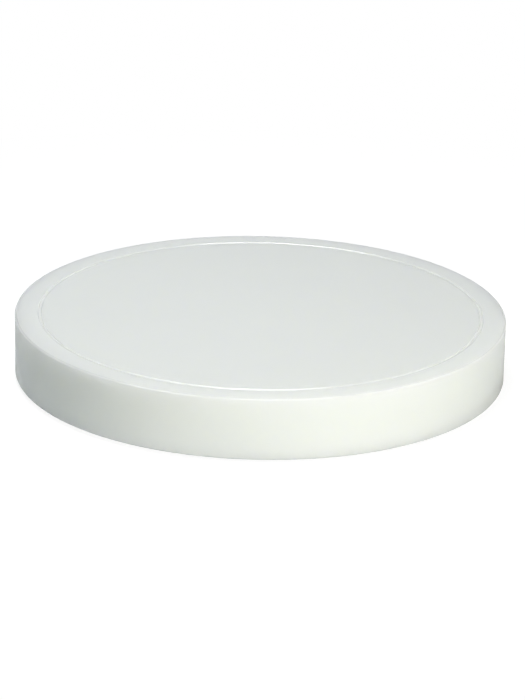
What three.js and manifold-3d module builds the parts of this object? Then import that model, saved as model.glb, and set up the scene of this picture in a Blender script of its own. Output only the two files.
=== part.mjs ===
// Round polyethylene cutting board: one thick slab with a juice groove, on push-in rubber feet.
// Millimetres, +Z up. The origin is on the worktop, under the centre of the slab.
import * as THREE from "three";
import { mergeVertices } from "three/addons/utils/BufferGeometryUtils.js";
import Module from "manifold-3d";

// Slab, sawn from sheet and turned to a disc
const SLAB_DIAMETER = 400;
const SLAB_THICKNESS = 50;
const TOP_EDGE_RADIUS = 1.5;
const UNDERSIDE_EDGE_RADIUS = 1.5;

// Juice groove, cut round the top face by a tapered cutter with a flat end
const GROOVE_INSET = 20; // from the rim to the groove's centre line
const GROOVE_DEPTH = 1.2;
const GROOVE_FLOOR_WIDTH = 1.8; // the flat between the rounded corners of the floor
const GROOVE_CORNER_RADIUS = 0.4;
const GROOVE_FLANK_ANGLE = 22.5; // degrees from upright, half of the cutter's included angle
const GROOVE_LIP_RADIUS = 0.2; // both lips are broken so that they don't catch a knife

// Feet, pushed into seats drilled in the underside
const FOOT_COUNT = 6;
const FOOT_INSET = 40; // from the rim to a foot's axis
const FOOT_STANDOFF = 3; // the underside's height above the worktop
const FOOT_SEAT_DEPTH = 2; // how far a foot's head is let into the slab
const FOOT_HEAD_DIAMETER = 26;
const FOOT_SOLE_DIAMETER = 23;
const SOLE_EDGE_RADIUS = 0.8;
const SOLE_DIMPLE_DIAMETER = 9;
const SOLE_DIMPLE_DEPTH = 0.8;
const STEM_LENGTH = 14;
const STEM_TIP_DIAMETER = 5;
const BARB_COUNT = 3;
const BARB_HEIGHT = 1.5; // how far a barb stands out from the stem's core
const BORE_DIAMETER = 10.6;
const BORE_END_ROOM = 2; // air beyond the tip of the stem
const FIT_CLEARANCE = 0.3; // between a foot and the walls of its seat and bore

// Facets
const SLAB_SEGMENTS = 96;
const FOOT_SEGMENTS = 24;
const ARC_STEPS_PER_QUARTER = 5;
const MERGE_DISTANCE = 1e-4; // vertices nearer than this are one vertex

// Levels and radii worked out from the sizes above
const slabRadius = SLAB_DIAMETER / 2;
const undersideZ = FOOT_STANDOFF;
const topZ = undersideZ + SLAB_THICKNESS;
const seatZ = undersideZ + FOOT_SEAT_DEPTH;
const stemEndZ = seatZ + STEM_LENGTH;
const grooveRadius = slabRadius - GROOVE_INSET;
const footCircleRadius = slabRadius - FOOT_INSET;
const footHeadRadius = FOOT_HEAD_DIAMETER / 2;
const boreRadius = BORE_DIAMETER / 2;

const QUARTER_TURN = Math.PI / 2;

const wasm = await Module();
wasm.setup();

const polyethylene = new THREE.MeshStandardMaterial({ color: 0xeef0ea, roughness: 0.45, metalness: 0 });
const rubber = new THREE.MeshStandardMaterial({ color: 0xb9bbb8, roughness: 0.8, metalness: 0 });

// Points of an arc in the (radius, height) plane, at about ARC_STEPS_PER_QUARTER steps to a quarter turn.
function arc(centreR, centreZ, radius, from, to) {
  const steps = Math.max(1, Math.round((ARC_STEPS_PER_QUARTER * Math.abs(to - from)) / QUARTER_TURN));
  return Array.from({ length: steps + 1 }, (_, i) => {
    const angle = from + ((to - from) * i) / steps;
    return new THREE.Vector2(centreR + radius * Math.cos(angle), centreZ + radius * Math.sin(angle));
  });
}

function point(r, z) {
  return new THREE.Vector2(r, z);
}

// Turns a profile of (radius, height) points, from the lower end of the axis to the upper, about Z.
function revolve(profile, segments) {
  return new THREE.LatheGeometry(profile, segments).rotateX(QUARTER_TURN);
}

// A closed geometry as a manifold solid: shared vertices merged, and the slivers at the axis dropped.
function solidOf(geometry) {
  const bare = geometry.clone().deleteAttribute("normal").deleteAttribute("uv");
  const merged = mergeVertices(bare, MERGE_DISTANCE);
  const corners = [];
  for (let i = 0; i < merged.index.count; i += 3) {
    const [a, b, c] = [0, 1, 2].map((k) => merged.index.getX(i + k));
    if (a !== b && b !== c && c !== a) corners.push(a, b, c);
  }
  const vertProperties = merged.attributes.position.array;
  const triVerts = new Uint32Array(corners);
  return new wasm.Manifold(new wasm.Mesh({ numProp: 3, vertProperties, triVerts }));
}

function geometryOf(solid) {
  const mesh = solid.getMesh();
  const geometry = new THREE.BufferGeometry();
  geometry.setAttribute("position", new THREE.BufferAttribute(mesh.vertProperties, 3));
  geometry.setIndex(new THREE.BufferAttribute(mesh.triVerts, 1));
  geometry.computeVertexNormals();
  return geometry;
}

// The groove from its outer lip to its inner one: a rounded lip, a straight flank, a rounded corner, the flat
// floor, and the same back up. Each rounding is tangent to the straight lines that it joins.
function grooveProfile() {
  const slope = THREE.MathUtils.degToRad(GROOVE_FLANK_ANGLE);
  const halfFloor = GROOVE_FLOOR_WIDTH / 2;
  const cornerZ = topZ - GROOVE_DEPTH + GROOVE_CORNER_RADIUS;
  const lipZ = topZ - GROOVE_LIP_RADIUS;
  const acrossFlank = GROOVE_CORNER_RADIUS + GROOVE_LIP_RADIUS; // between the centres of a corner and its lip
  const lipReach = halfFloor + (acrossFlank + (lipZ - cornerZ) * Math.sin(slope)) / Math.cos(slope);
  return [
    ...arc(grooveRadius + lipReach, lipZ, GROOVE_LIP_RADIUS, QUARTER_TURN, Math.PI - slope),
    ...arc(grooveRadius + halfFloor, cornerZ, GROOVE_CORNER_RADIUS, -slope, -QUARTER_TURN),
    ...arc(grooveRadius - halfFloor, cornerZ, GROOVE_CORNER_RADIUS, -QUARTER_TURN, slope - Math.PI),
    ...arc(grooveRadius - lipReach, lipZ, GROOVE_LIP_RADIUS, slope, QUARTER_TURN),
  ];
}

// The slab before its seats are drilled: flat faces, upright wall, rounded edges and the groove.
function slabProfile() {
  const lowArcZ = undersideZ + UNDERSIDE_EDGE_RADIUS;
  const highArcZ = topZ - TOP_EDGE_RADIUS;
  return [
    point(0, undersideZ),
    ...arc(slabRadius - UNDERSIDE_EDGE_RADIUS, lowArcZ, UNDERSIDE_EDGE_RADIUS, -QUARTER_TURN, 0),
    ...arc(slabRadius - TOP_EDGE_RADIUS, highArcZ, TOP_EDGE_RADIUS, 0, QUARTER_TURN),
    ...grooveProfile(),
    point(0, topZ),
  ];
}

// The tool that drills one seat: a shallow counterbore for the head and a blind bore for the stem.
// It starts below the underside so that the cut is clean.
function seatProfile() {
  const startZ = undersideZ - FOOT_STANDOFF;
  const seatRadius = footHeadRadius + FIT_CLEARANCE;
  const boreEndZ = stemEndZ + BORE_END_ROOM;
  return [
    point(0, startZ),
    point(seatRadius, startZ),
    point(seatRadius, seatZ),
    point(boreRadius, seatZ),
    point(boreRadius, boreEndZ),
    point(0, boreEndZ),
  ];
}

// A foot from its sole up: dimple, flat pad, rounded edge, flared skirt, head, barbed stem.
// The barbs are drawn as the bore squeezes them, less the clearance.
function footProfile() {
  const soleRadius = FOOT_SOLE_DIAMETER / 2;
  const dimpleRadius = SOLE_DIMPLE_DIAMETER / 2;
  const dimpleArcRadius = (dimpleRadius ** 2 + SOLE_DIMPLE_DEPTH ** 2) / (2 * SOLE_DIMPLE_DEPTH);
  const dimpleHalfAngle = Math.asin(dimpleRadius / dimpleArcRadius);
  const dimpleArcZ = SOLE_DIMPLE_DEPTH - dimpleArcRadius;
  const barbRadius = boreRadius - FIT_CLEARANCE;
  const coreRadius = barbRadius - BARB_HEIGHT;
  const barbPitch = STEM_LENGTH / (BARB_COUNT + 1);
  const barbs = Array.from({ length: BARB_COUNT }, (_, i) => {
    const ledgeZ = seatZ + barbPitch * (i + 1);
    return [point(coreRadius, ledgeZ), point(barbRadius, ledgeZ)];
  });
  return [
    ...arc(0, dimpleArcZ, dimpleArcRadius, QUARTER_TURN, QUARTER_TURN - dimpleHalfAngle),
    ...arc(soleRadius - SOLE_EDGE_RADIUS, SOLE_EDGE_RADIUS, SOLE_EDGE_RADIUS, -QUARTER_TURN, 0),
    point(footHeadRadius, undersideZ),
    point(footHeadRadius, seatZ),
    point(coreRadius, seatZ),
    ...barbs.flat(),
    point(STEM_TIP_DIAMETER / 2, stemEndZ),
    point(0, stemEndZ),
  ];
}

// The feet stand evenly on one circle, the first on +X.
const footPlaces = Array.from({ length: FOOT_COUNT }, (_, i) => {
  const angle = (2 * Math.PI * i) / FOOT_COUNT;
  return new THREE.Vector3(footCircleRadius * Math.cos(angle), footCircleRadius * Math.sin(angle), 0);
});

function makeSlab() {
  const drill = solidOf(revolve(seatProfile(), FOOT_SEGMENTS));
  const blank = solidOf(revolve(slabProfile(), SLAB_SEGMENTS));
  const drilled = footPlaces.reduce((slab, place) => slab.subtract(drill.translate(place.toArray())), blank);
  const slab = new THREE.Mesh(geometryOf(drilled), polyethylene);
  slab.name = "board_slab";
  return slab;
}

function makeFeet() {
  const geometry = revolve(footProfile(), FOOT_SEGMENTS);
  return footPlaces.map((place, i) => {
    const foot = new THREE.Mesh(geometry, rubber);
    foot.name = `foot_${i + 1}`;
    foot.position.copy(place);
    return foot;
  });
}

const board = new THREE.Group();
board.name = "round_cutting_board";
board.add(makeSlab(), ...makeFeet());

export default board;
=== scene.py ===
import math

import bmesh
import bpy
import numpy as np
from mathutils import Matrix, Vector


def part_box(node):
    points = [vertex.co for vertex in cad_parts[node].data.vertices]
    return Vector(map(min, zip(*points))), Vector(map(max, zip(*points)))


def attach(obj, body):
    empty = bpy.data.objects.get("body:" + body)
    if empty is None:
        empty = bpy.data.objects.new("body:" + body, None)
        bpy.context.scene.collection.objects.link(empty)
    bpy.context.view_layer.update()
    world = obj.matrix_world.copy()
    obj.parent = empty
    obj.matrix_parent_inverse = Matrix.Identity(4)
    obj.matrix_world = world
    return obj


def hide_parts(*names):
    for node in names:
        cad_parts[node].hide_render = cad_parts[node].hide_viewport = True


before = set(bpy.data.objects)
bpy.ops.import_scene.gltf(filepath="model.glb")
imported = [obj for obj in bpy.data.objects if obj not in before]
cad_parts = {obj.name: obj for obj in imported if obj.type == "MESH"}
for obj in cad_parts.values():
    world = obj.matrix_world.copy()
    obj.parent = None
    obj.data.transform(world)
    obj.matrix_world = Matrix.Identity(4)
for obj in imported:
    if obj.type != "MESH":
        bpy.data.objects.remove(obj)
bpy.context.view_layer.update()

# Slab: one disc of white polyethylene, sawn from thick pressed sheet and turned true on its rim.
# Both edges are rounded, and a tapered cutter with a flat end has run a juice groove round the top face.
# Six stepped seats for the feet are drilled up into the underside.
TOP_EDGE_RADIUS = 0.0015
UNDERSIDE_EDGE_RADIUS = 0.0015
GROOVE_INSET = 0.02
GROOVE_DEPTH = 0.0012
GROOVE_FLOOR_WIDTH = 0.0018
GROOVE_CORNER_RADIUS = 0.0004
GROOVE_FLANK_ANGLE = math.radians(22.5)
GROOVE_LIP_RADIUS = 0.0002
SEAT_DEPTH = 0.002
SEAT_EDGE_BREAK = 0.0004
BORE_RADIUS = 0.0053
BORE_DEPTH = 0.018
FIT_CLEARANCE = 0.0003

SLAB_STEPS = 288
FILLET_STEPS = 12
GROOVE_STEPS = 6
FLANK_SHARES = (0.1, 0.9)  # where along its length a straight flank has rings of its own
PLATEAU_RINGS = 8
WALL_RINGS = 10
SUPPORT = 0.0004  # a ring this far from a rounding keeps the flat beside it flat in the shading
SEAT_RINGS = 6
SECTOR_SIDE_STEPS = 30
MERGE_DISTANCE = 1e-6
SHARP_ANGLE = math.radians(40)
QUARTER_TURN = math.pi / 2

slab_low, slab_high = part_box("board_slab")
slab_radius = slab_high.x
underside_z = slab_low.z
top_z = slab_high.z
foot_names = sorted(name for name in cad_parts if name.startswith("foot_"))
foot_boxes = [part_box(name) for name in foot_names]
foot_axes = [(low + high) / 2 for low, high in foot_boxes]
foot_head_radius = (foot_boxes[0][1].x - foot_boxes[0][0].x) / 2
foot_circle_radius = math.hypot(foot_axes[0].x, foot_axes[0].y)


def arc(centre_r, centre_z, radius, start, end, steps):
    """Points of an arc: the centre plus radius times (cos, sin) of even angles from start to end."""
    angle = np.linspace(start, end, steps + 1)
    return np.stack([centre_r + radius * np.cos(angle), centre_z + radius * np.sin(angle)], axis=1)


def level(z, *radii):
    """Points at one height z, at the given radii."""
    return np.array([(r, z) for r in radii])


def along(start, end, *shares):
    """Points on the straight line from start to end, at the given shares of its length."""
    return np.asarray(start) + np.outer(shares, np.subtract(end, start))


def groove_section():
    """The groove from its inner lip to its outer one: a rounded lip, a straight flank, a rounded corner,
    the flat floor, and the same back up. Each rounding is tangent to what it joins, so a lip's centre
    stands out from its corner's centre by (both radii + the rise between them * sin(flank)) / cos(flank)."""
    groove_radius = slab_radius - GROOVE_INSET
    slope = GROOVE_FLANK_ANGLE
    corner_z = top_z - GROOVE_DEPTH + GROOVE_CORNER_RADIUS
    lip_z = top_z - GROOVE_LIP_RADIUS
    across_flank = GROOVE_CORNER_RADIUS + GROOVE_LIP_RADIUS
    corner_out = GROOVE_FLOOR_WIDTH / 2
    lip_out = corner_out + (across_flank + (lip_z - corner_z) * math.sin(slope)) / math.cos(slope)
    lip = arc(lip_out, lip_z, GROOVE_LIP_RADIUS, QUARTER_TURN, math.pi - slope, GROOVE_STEPS)
    corner = arc(corner_out, corner_z, GROOVE_CORNER_RADIUS, -slope, -QUARTER_TURN, GROOVE_STEPS)
    flank = along(lip[-1], corner[0], *FLANK_SHARES)
    half = np.concatenate([lip, flank, corner])
    inner = half * (-1, 1)
    return np.concatenate([inner, half[::-1]]) + (groove_radius, 0)


def slab_section():
    """The slab's (radius, height) from the axis out over the groove, round the rim and under it."""
    groove = groove_section()
    inner_r = groove[0, 0]
    outer_r = groove[-1, 0]
    rim_r = slab_radius - TOP_EDGE_RADIUS
    top_arc_z = top_z - TOP_EDGE_RADIUS
    low_arc_z = underside_z + UNDERSIDE_EDGE_RADIUS
    low_r = slab_radius - UNDERSIDE_EDGE_RADIUS
    plateau = level(top_z, *np.linspace(0, inner_r - SUPPORT, PLATEAU_RINGS))
    band = level(top_z, outer_r + SUPPORT, (outer_r + rim_r) / 2, rim_r - SUPPORT)
    wall_z = np.linspace(top_arc_z - SUPPORT, low_arc_z + SUPPORT, WALL_RINGS)
    wall = np.stack([np.full_like(wall_z, slab_radius), wall_z], axis=1)
    return np.concatenate([
        plateau,
        groove,
        band,
        arc(rim_r, top_arc_z, TOP_EDGE_RADIUS, QUARTER_TURN, 0, FILLET_STEPS),
        wall,
        arc(low_r, low_arc_z, UNDERSIDE_EDGE_RADIUS, 0, -QUARTER_TURN, FILLET_STEPS),
    ])


def turned(section, steps):
    """Rings of a turned surface: each (radius, height) of the section at even angles about Z."""
    angle = np.arange(steps) * 2 * math.pi / steps
    radius, height = section[:, :1], section[:, 1:]
    x = radius * np.cos(angle)
    y = radius * np.sin(angle)
    return np.stack([x, y, np.broadcast_to(height, x.shape)], axis=2)


def seat_section():
    """One seat's (radius from the foot's axis, height), from its broken mouth up to the end of its bore."""
    seat_radius = foot_head_radius + FIT_CLEARANCE
    seat_z = underside_z + SEAT_DEPTH
    bore_end_z = underside_z + BORE_DEPTH
    mouth_r = seat_radius + SEAT_EDGE_BREAK
    mouth_z = underside_z + SEAT_EDGE_BREAK
    mouth = arc(mouth_r, mouth_z, SEAT_EDGE_BREAK, -QUARTER_TURN, -math.pi, FILLET_STEPS // 2)
    ledge = level(seat_z, seat_radius, BORE_RADIUS)
    bore_end = level(bore_end_z, BORE_RADIUS, 0)
    return np.concatenate([mouth, ledge, bore_end])


def seat_sector(axis):
    """A sixth of the underside, as rings round one foot's axis.
    The outermost ring runs along the rim's arc, in to the slab's centre and back out. The rings inside it
    blend evenly into the seat's circular mouth and then follow the seat's section."""
    half = math.pi / len(foot_axes)
    outer_r = slab_radius - UNDERSIDE_EDGE_RADIUS
    rim = arc(0, 0, outer_r, -half, half, SLAB_STEPS // len(foot_axes))
    inward = np.linspace(1, 0, SECTOR_SIDE_STEPS + 1)[1:, None]
    edge = np.concatenate([rim, rim[-1] * inward, rim[0] * inward[-2::-1]])
    section = seat_section()
    start = math.atan2(rim[0, 1], rim[0, 0] - foot_circle_radius)
    angle = start + np.arange(len(edge)) * 2 * math.pi / len(edge)
    circle = np.stack([np.cos(angle), np.sin(angle)], axis=1)
    centre = np.array([foot_circle_radius, 0])
    blend = np.linspace(0, 1, SEAT_RINGS)[:-1, None, None]
    face = (1 - blend) * edge + blend * (centre + section[0, 0] * circle)
    seat = centre + section[:, :1, None] * circle
    flat = np.concatenate([face, seat])
    height = np.concatenate([np.full(len(face), underside_z), section[:, 1]])
    turn = math.atan2(axis.y, axis.x)
    x = flat[..., 0] * math.cos(turn) - flat[..., 1] * math.sin(turn)
    y = flat[..., 0] * math.sin(turn) + flat[..., 1] * math.cos(turn)
    return np.stack([x, y, np.broadcast_to(height[:, None], x.shape)], axis=2)


def piece_of_rings(name, grids):
    """One closed mesh from grids of rings: quads join each ring to the next, and each point to the next one
    round it. Coincident points are merged, which closes the poles and joins the grids, and the faces are
    turned outwards."""
    points = []
    quads = []
    count = 0
    for grid in grids:
        rings, around = grid.shape[:2]
        row = count + np.arange(rings - 1)[:, None] * around
        here = np.arange(around)[None, :]
        following = (here + 1) % around
        corners = [row + here, row + following, row + around + following, row + around + here]
        quads.append(np.stack(corners, axis=2).reshape(-1, 4))
        points.append(grid.reshape(-1, 3))
        count += rings * around
    mesh = bpy.data.meshes.new(name)
    mesh.from_pydata(np.concatenate(points), [], np.concatenate(quads))
    whole = bmesh.new()
    whole.from_mesh(mesh)
    bmesh.ops.remove_doubles(whole, verts=whole.verts, dist=MERGE_DISTANCE)
    bmesh.ops.recalc_face_normals(whole, faces=whole.faces)
    whole.to_mesh(mesh)
    whole.free()
    mesh.shade_smooth()
    mesh.set_sharp_from_angle(angle=SHARP_ANGLE)
    piece = bpy.data.objects.new(name, mesh)
    bpy.context.scene.collection.objects.link(piece)
    return piece


MIX_COLOURS = (6, 7)  # the Mix node's two colour inputs
MIX_RESULT = 2  # and its colour output
NOISE_MIDDLE = 0.5
RELIEF_DEPTH = 0.0001


class Wire:
    """A socket among a material's nodes. Arithmetic on wires adds Math nodes, and node() adds any other."""

    def __init__(self, tree, socket=None):
        self.tree = tree
        self.socket = socket

    def node(self, kind, settings, inputs, output=0):
        """Adds a node, makes its settings, then sets or links its inputs. Gives the wire of one output."""
        made = self.tree.nodes.new(kind)
        for name, value in settings.items():
            setattr(made, name, value)
        for name, value in inputs.items():
            if isinstance(value, Wire):
                self.tree.links.new(value.socket, made.inputs[name])
            else:
                made.inputs[name].default_value = value
        return Wire(self.tree, made.outputs[output] if made.outputs else None)

    def math(self, operation, first, second):
        """A Math node on two values."""
        return self.node("ShaderNodeMath", {"operation": operation}, {0: first, 1: second})

    def clamped(self, operation, first, second):
        """A Math node on two values, with its result kept between 0 and 1."""
        settings = {"operation": operation, "use_clamp": True}
        return self.node("ShaderNodeMath", settings, {0: first, 1: second})

    def noise(self, place, scale, detail):
        """Noise about NOISE_MIDDLE, with about scale features to each unit of place."""
        return self.node("ShaderNodeTexNoise", {}, {"Vector": place, "Scale": scale, "Detail": detail})

    def mixed(self, share, first, second):
        """The colour that goes from first to second as share goes from 0 to 1."""
        colours = dict(zip(MIX_COLOURS, (first, second)))
        return self.node("ShaderNodeMix", {"data_type": "RGBA"}, {"Factor": share, **colours}, MIX_RESULT)

    def bumped(self, height, strength):
        """The normal of a surface with a fine relief."""
        relief = {"Strength": strength, "Distance": RELIEF_DEPTH, "Height": height}
        return self.node("ShaderNodeBump", {}, relief)

    def __add__(self, other):
        return self.math("ADD", self, other)

    def __radd__(self, other):
        return self.math("ADD", other, self)

    def __sub__(self, other):
        return self.math("SUBTRACT", self, other)

    def __rsub__(self, other):
        return self.math("SUBTRACT", other, self)

    def __mul__(self, other):
        return self.math("MULTIPLY", self, other)

    def __rmul__(self, other):
        return self.math("MULTIPLY", other, self)


def new_material(name):
    """An empty node material, and the wire that its nodes are added through."""
    material = bpy.data.materials.new(name)
    material.use_nodes = True
    material.node_tree.nodes.clear()
    return material, Wire(material.node_tree)


WHITE = (0.87, 0.885, 0.86, 1)
MILKY = (0.85, 0.87, 0.85, 1)
# Groove colour: partly the whitening of a cut surface, partly painted light that lifts the groove's shade and
# brightens its lines.
CUT_WHITENING_AND_PAINTED_LIGHT = (0.89, 0.905, 0.88, 1)
CUT_HALF_WIDTH = 0.0017
CUT_BLEND = 0.0003
PRESSED_ROUGHNESS = 0.65
CUT_ROUGHNESS = 0.22
SCATTER_LENGTH = 0.023
SCATTER_BY_COLOUR = (1.0, 1.0, 0.9)
PLASTIC_IOR = 1.5
CLOUD = {"scale": 18.0, "detail": 3.0}
HAZE = {"scale": 60.0, "detail": 4.0}
HAZE_SPREAD = 0.08
PEBBLE = {"scale": 1400.0, "detail": 2.0}
PEBBLE_SHARE = 0.6
LINES = {"scale": 1.0, "detail": 2.0}
LINE_STRETCH = (6.0, 6.0, 900.0)
LINE_SHARE = 0.4
RELIEF_STRENGTH = 0.12


def cut_places(wire, place):
    """Two masks of where a tool has cut the sheet: 1 in the groove, which is close to its own circle and near
    the top, and 1 on the turned rim with its rounded edges."""
    flat = wire.node("ShaderNodeVectorMath", {"operation": "MULTIPLY"}, {0: place, 1: (1, 1, 0)})
    radius = wire.node("ShaderNodeVectorMath", {"operation": "LENGTH"}, {0: flat}, "Value")
    height = wire.node("ShaderNodeSeparateXYZ", {}, {0: place}, "Z")
    outside = radius - (slab_radius - GROOVE_INSET)
    off_line = wire.node("ShaderNodeMath", {"operation": "ABSOLUTE"}, {0: outside})
    ring = (CUT_HALF_WIDTH + CUT_BLEND / 2 - off_line) * (1 / CUT_BLEND)
    near_top = wire.math("GREATER_THAN", height, top_z - 2 * GROOVE_DEPTH)
    groove = wire.clamped("MULTIPLY", ring, near_top)
    rim = wire.math("GREATER_THAN", radius, slab_radius - TOP_EDGE_RADIUS)
    return groove, rim


def polyethylene():
    """White polyethylene that light scatters far into, very slightly cloudy. The pressed faces are matt
    with a fine pebble. The cut groove and the turned rim are smoother, and the rim has faint level lines,
    from noise that is stretched along the sheet. The groove is a touch paler: partly the whitening of a cut
    surface and partly painted light, which lifts the shade in the groove and brightens its lines."""
    material, wire = new_material("white_polyethylene")
    place = wire.node("ShaderNodeTexCoord", {}, {}, "Object")
    groove, rim = cut_places(wire, place)
    sheet_white = wire.mixed(wire.noise(place, **CLOUD), WHITE, MILKY)
    haze = HAZE_SPREAD * (wire.noise(place, **HAZE) - NOISE_MIDDLE)
    roughness = PRESSED_ROUGHNESS + (CUT_ROUGHNESS - PRESSED_ROUGHNESS) * (groove + rim) + haze
    stretched = wire.node("ShaderNodeMapping", {}, {"Vector": place, "Scale": LINE_STRETCH})
    relief = PEBBLE_SHARE * wire.noise(place, **PEBBLE) + LINE_SHARE * wire.noise(stretched, **LINES)
    surface = wire.node(
        "ShaderNodeBsdfPrincipled",
        {},
        {
            # The paler groove is partly cut-surface whitening and partly painted light on its shade and its
            # bright lines.
            "Base Color": wire.mixed(groove, sheet_white, CUT_WHITENING_AND_PAINTED_LIGHT),
            "Roughness": roughness,
            "IOR": PLASTIC_IOR,
            "Subsurface Weight": 1.0,
            "Subsurface Radius": SCATTER_BY_COLOUR,
            "Subsurface Scale": SCATTER_LENGTH,
            "Normal": wire.bumped(relief, RELIEF_STRENGTH),
        },
    )
    wire.node("ShaderNodeOutputMaterial", {}, {"Surface": surface})
    return material


slab_grids = [turned(slab_section(), SLAB_STEPS)]
slab_grids.extend(seat_sector(axis) for axis in foot_axes)
slab = piece_of_rings("polyethylene_slab", slab_grids)
slab.data.materials.append(polyethylene())
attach(slab, "root")
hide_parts("board_slab")

# Feet: six plain grey rubber feet, each moulded in one piece: a flared pad with a dimpled sole, a head and a
# barbed stem. The stem is pushed into its bore until the head beds in the counterbore, and the barbs grip.
SOLE_RADIUS = 0.0115
SOLE_EDGE_RADIUS = 0.0008
DIMPLE_RADIUS = 0.0045
DIMPLE_DEPTH = 0.0008
HEAD_EDGE_RADIUS = 0.0003
STEM_LENGTH = 0.014
STEM_TIP_RADIUS = 0.0025
BARB_COUNT = 3
BARB_HEIGHT = 0.0015
FOOT_STEPS = 48
RUBBER_GREY = (0.46, 0.47, 0.46, 1)
RUBBER_BLOOM = (0.52, 0.53, 0.52, 1)
RUBBER_ROUGHNESS = 0.7
BLOOM = {"scale": 220.0, "detail": 3.0}
BLOOM_SPREAD = 0.1
GRAIN = {"scale": 2500.0, "detail": 1.0}
GRAIN_STRENGTH = 0.3


def foot_section():
    """A foot's (radius, height) from the middle of its sole out over the dimple's arc, the flat ring and the
    rounded edge, up the flared skirt and the head, and in along the barbed stem to its tip."""
    dimple_arc = (DIMPLE_RADIUS**2 + DIMPLE_DEPTH**2) / (2 * DIMPLE_DEPTH)
    dimple_end = QUARTER_TURN - math.asin(DIMPLE_RADIUS / dimple_arc)
    head_edge_r = foot_head_radius - HEAD_EDGE_RADIUS
    seat_z = underside_z + SEAT_DEPTH
    barb_r = BORE_RADIUS - FIT_CLEARANCE
    core_r = barb_r - BARB_HEIGHT
    ledges = seat_z + STEM_LENGTH * np.arange(1, BARB_COUNT + 1) / (BARB_COUNT + 1)
    barbs = np.stack([np.tile([core_r, barb_r], BARB_COUNT), np.repeat(ledges, 2)], axis=1)
    stem_end_z = seat_z + STEM_LENGTH
    sole_edge_r = SOLE_RADIUS - SOLE_EDGE_RADIUS
    return np.concatenate([
        arc(0, DIMPLE_DEPTH - dimple_arc, dimple_arc, QUARTER_TURN, dimple_end, FILLET_STEPS),
        arc(sole_edge_r, SOLE_EDGE_RADIUS, SOLE_EDGE_RADIUS, -QUARTER_TURN, 0, FILLET_STEPS),
        level(underside_z, foot_head_radius),
        arc(head_edge_r, seat_z - HEAD_EDGE_RADIUS, HEAD_EDGE_RADIUS, 0, QUARTER_TURN, FILLET_STEPS // 2),
        level(seat_z, core_r),
        barbs,
        level(stem_end_z, STEM_TIP_RADIUS, 0),
    ])


def foot_rubber():
    """Matt grey rubber with a fine moulded grain and a faint paler bloom."""
    material, wire = new_material("grey_foot_rubber")
    place = wire.node("ShaderNodeTexCoord", {}, {}, "Object")
    bloom = wire.noise(place, **BLOOM)
    surface = wire.node(
        "ShaderNodeBsdfPrincipled",
        {},
        {
            "Base Color": wire.mixed(bloom, RUBBER_GREY, RUBBER_BLOOM),
            "Roughness": RUBBER_ROUGHNESS + BLOOM_SPREAD * (bloom - NOISE_MIDDLE),
            "Normal": wire.bumped(wire.noise(place, **GRAIN), GRAIN_STRENGTH),
        },
    )
    wire.node("ShaderNodeOutputMaterial", {}, {"Surface": surface})
    return material


rubber = foot_rubber()
foot_rings = turned(foot_section(), FOOT_STEPS)
for foot_name, axis in zip(foot_names, foot_axes):
    foot = piece_of_rings(f"rubber_{foot_name}", [foot_rings + np.array([axis.x, axis.y, 0])])
    foot.data.materials.append(rubber)
    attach(foot, "root")
    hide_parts(foot_name)

# Floor: a wide pale worktop under the board, and a bright surround. The camera sees both as white, with a
# faint shadow of the board left on the floor. Other light bounces off a plain matt surface, paler near the
# board, and the floor right under the board glows a little: painted light on the board's lower edge.
FLOOR_HALF_WIDTH = 6.0
FLOOR_BOUNCE = (0.5, 0.5, 0.5, 1)
SHEET_BOUNCE = (0.84, 0.88, 0.88, 1)
SHADOW_SEEN = 0.2  # share of the floor's own light and shade that the camera sees
FLOOR_LIT = 0.5  # how bright the floor is where the shadow ends
UNDER_GLOW = 0.06  # painted light: a faint glow from the floor under the board
UNDER_FADE_LENGTH = 0.01
FLOOR_FADE_START = 0.3
FLOOR_FADE_LENGTH = 0.4
SURROUND_MIRRORED = 0.8  # how bright the surround is in reflections; to the camera it is 1


def ray_is(wire, kind):
    """1 for rays of one kind, and 0 for the rest."""
    return wire.node("ShaderNodeLightPath", {}, {}, f"Is {kind} Ray")


def seen_directly(wire):
    """1 for rays from the camera, from a reflection or through a clear body, and 0 for the rest."""
    return wire.clamped("ADD", ray_is(wire, "Camera") + ray_is(wire, "Glossy"), ray_is(wire, "Transmission"))


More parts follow.
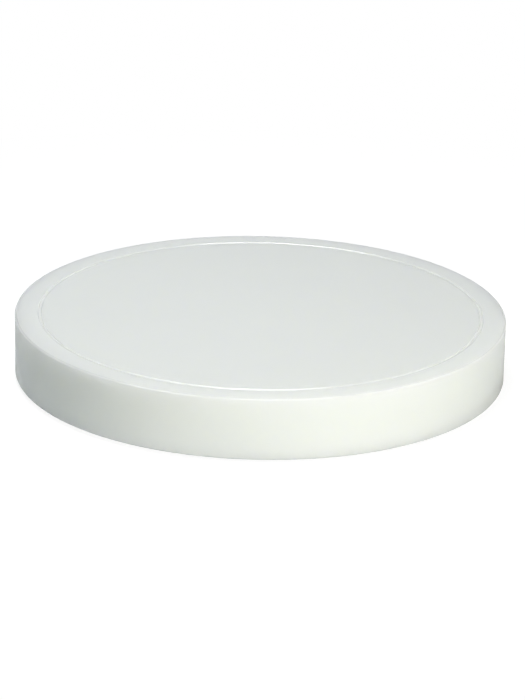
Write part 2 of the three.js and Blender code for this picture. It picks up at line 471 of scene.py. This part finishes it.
def pale_floor():
    """White to the camera and in reflections, and plain pale matt to other light, with a faint painted glow
    from the floor under the board. Near the board the floor's own light and shade takes the place of the
    white: a share of it for the camera, and all of it in reflections."""
    material, wire = new_material("pale_floor")
    place = wire.node("ShaderNodeTexCoord", {}, {}, "Object")
    distance = wire.node("ShaderNodeVectorMath", {"operation": "LENGTH"}, {0: place}, "Value")
    fade_end = FLOOR_FADE_START + FLOOR_FADE_LENGTH
    near = wire.clamped("MULTIPLY", fade_end - distance, 1 / FLOOR_FADE_LENGTH)
    mirrored = ray_is(wire, "Glossy")
    takes = near * (SHADOW_SEEN + (1 - SHADOW_SEEN) * mirrored)
    replaced = FLOOR_LIT * SHADOW_SEEN
    gives_way = near * (replaced + (1 - replaced) * mirrored)
    pale = wire.mixed(near, FLOOR_BOUNCE, SHEET_BOUNCE)
    matt = wire.node("ShaderNodeBsdfDiffuse", {}, {"Color": pale})
    # Painted light: the floor under the board glows faintly, brightening the board's lower edge.
    under = wire.clamped("MULTIPLY", slab_radius + UNDER_FADE_LENGTH - distance, 1 / UNDER_FADE_LENGTH)
    under_board_glow = wire.node("ShaderNodeEmission", {}, {"Color": UNDER_GLOW * under})
    bounce = wire.node("ShaderNodeAddShader", {}, {0: matt, 1: under_board_glow})
    shadowed = wire.node("ShaderNodeBsdfDiffuse", {}, {"Color": takes})
    glow = wire.node("ShaderNodeEmission", {}, {"Color": 1 - gives_way})
    white = wire.node("ShaderNodeAddShader", {}, {0: shadowed, 1: glow})
    surface = wire.node("ShaderNodeMixShader", {}, {0: seen_directly(wire), 1: bounce, 2: white})
    wire.node("ShaderNodeOutputMaterial", {}, {"Surface": surface})
    return material


floor_mesh = bpy.data.meshes.new("floor")
floor_corners = FLOOR_HALF_WIDTH * np.array([(-1, -1, 0), (1, -1, 0), (1, 1, 0), (-1, 1, 0)])
floor_mesh.from_pydata(floor_corners, [], [(0, 1, 2, 3)])
floor_mesh.materials.append(pale_floor())
floor = bpy.data.objects.new("floor", floor_mesh)
bpy.context.scene.collection.objects.link(floor)

surround = bpy.data.worlds.new("surround")
surround.use_nodes = True
surround.node_tree.nodes.clear()
air = Wire(surround.node_tree)
brightness = SURROUND_MIRRORED * seen_directly(air) + (1 - SURROUND_MIRRORED) * ray_is(air, "Camera")
backdrop = air.node("ShaderNodeBackground", {}, {"Color": brightness})
air.node("ShaderNodeOutputWorld", {}, {"Surface": backdrop})
bpy.context.scene.world = surround

# Lamps: a low wide key to the right of the camera, a small overhead and a low one behind give the soft
# light. Two long strips show only in reflections, as thin bright lines on the groove and the edges.
# Each lamp is aimed at the middle of the slab.
SOFTBOXES = {
    "key_softbox": {
        "azimuth": -64,
        "elevation": 19,
        "distance": 1.5,
        "size": (1.0, 0.85),
        "watts": 15.1,
        "colour": (1.0, 0.98, 0.905),
        "mirrored": False,
    },
    "overhead_softbox": {
        "azimuth": -160,
        "elevation": 80.5,
        "distance": 1.25,
        "size": (0.5, 0.5),
        "watts": 9.9,
        "colour": (0.94, 0.98, 1.0),
        "mirrored": False,
    },
    "back_softbox": {
        "azimuth": 95,
        "elevation": 15,
        "distance": 1.8,
        "size": (1.3, 0.85),
        "watts": 8,
        "colour": (0.97, 0.98, 1.0),
        "mirrored": False,
    },
    "left_strip": {
        "azimuth": -128,
        "elevation": 27.5,
        "distance": 2.5,
        "size": (2.6, 0.3),
        "watts": 42,
        "colour": (1.0, 1.0, 0.97),
        "mirrored": True,
    },
    "front_strip": {
        "azimuth": -80,
        "elevation": 27.5,
        "distance": 2.5,
        "size": (2.1, 0.3),
        "watts": 33,
        "colour": (1.0, 1.0, 0.97),
        "mirrored": True,
    },
}
slab_middle = Vector((0, 0, (underside_z + top_z) / 2))


def direction(azimuth, elevation):
    """Unit vector at an azimuth about Z and an elevation above the floor, in radians."""
    level_part = math.cos(elevation)
    return Vector((level_part * math.cos(azimuth), level_part * math.sin(azimuth), math.sin(elevation)))


for name, box in SOFTBOXES.items():
    lamp = bpy.data.lights.new(name, "AREA")
    lamp.shape = "RECTANGLE"
    lamp.size, lamp.size_y = box["size"]
    lamp.energy = box["watts"]
    lamp.color = box["colour"]
    towards = direction(math.radians(box["azimuth"]), math.radians(box["elevation"]))
    softbox = bpy.data.objects.new(name, lamp)
    facing = towards.to_track_quat("Z", "Y").to_matrix().to_4x4()
    softbox.matrix_world = Matrix.Translation(slab_middle + box["distance"] * towards) @ facing
    softbox.visible_glossy = box["mirrored"]
    softbox.visible_diffuse = not box["mirrored"]
    bpy.context.scene.collection.objects.link(softbox)

# Camera: a long lens about 20 degrees above the board, looking along +Y and turned slightly about its own
# axis. The lens is shifted a very little, as the photograph is framed.
VIEW_AZIMUTH = -QUARTER_TURN
VIEW_ELEVATION = math.radians(19.904)
VIEW_ROLL = math.radians(1.204)
VIEW_DISTANCE = 2.627
FOCAL_LENGTH_MM = 165.0
SHIFT_RIGHT = 0.0035
SHIFT_UP = -0.0138

back = direction(VIEW_AZIMUTH, VIEW_ELEVATION)
stand = Matrix.Translation(slab_middle + VIEW_DISTANCE * back)
aim = back.to_track_quat("Z", "Y").to_matrix().to_4x4() @ Matrix.Rotation(VIEW_ROLL, 4, "Z")
camera = bpy.data.objects.new("camera", bpy.data.cameras.new("camera"))
camera.data.lens = FOCAL_LENGTH_MM
camera.data.shift_x = SHIFT_RIGHT
camera.data.shift_y = SHIFT_UP
camera.matrix_world = stand @ aim
bpy.context.scene.collection.objects.link(camera)
bpy.context.scene.camera = camera
bpy.context.scene.view_settings.view_transform = "Standard"
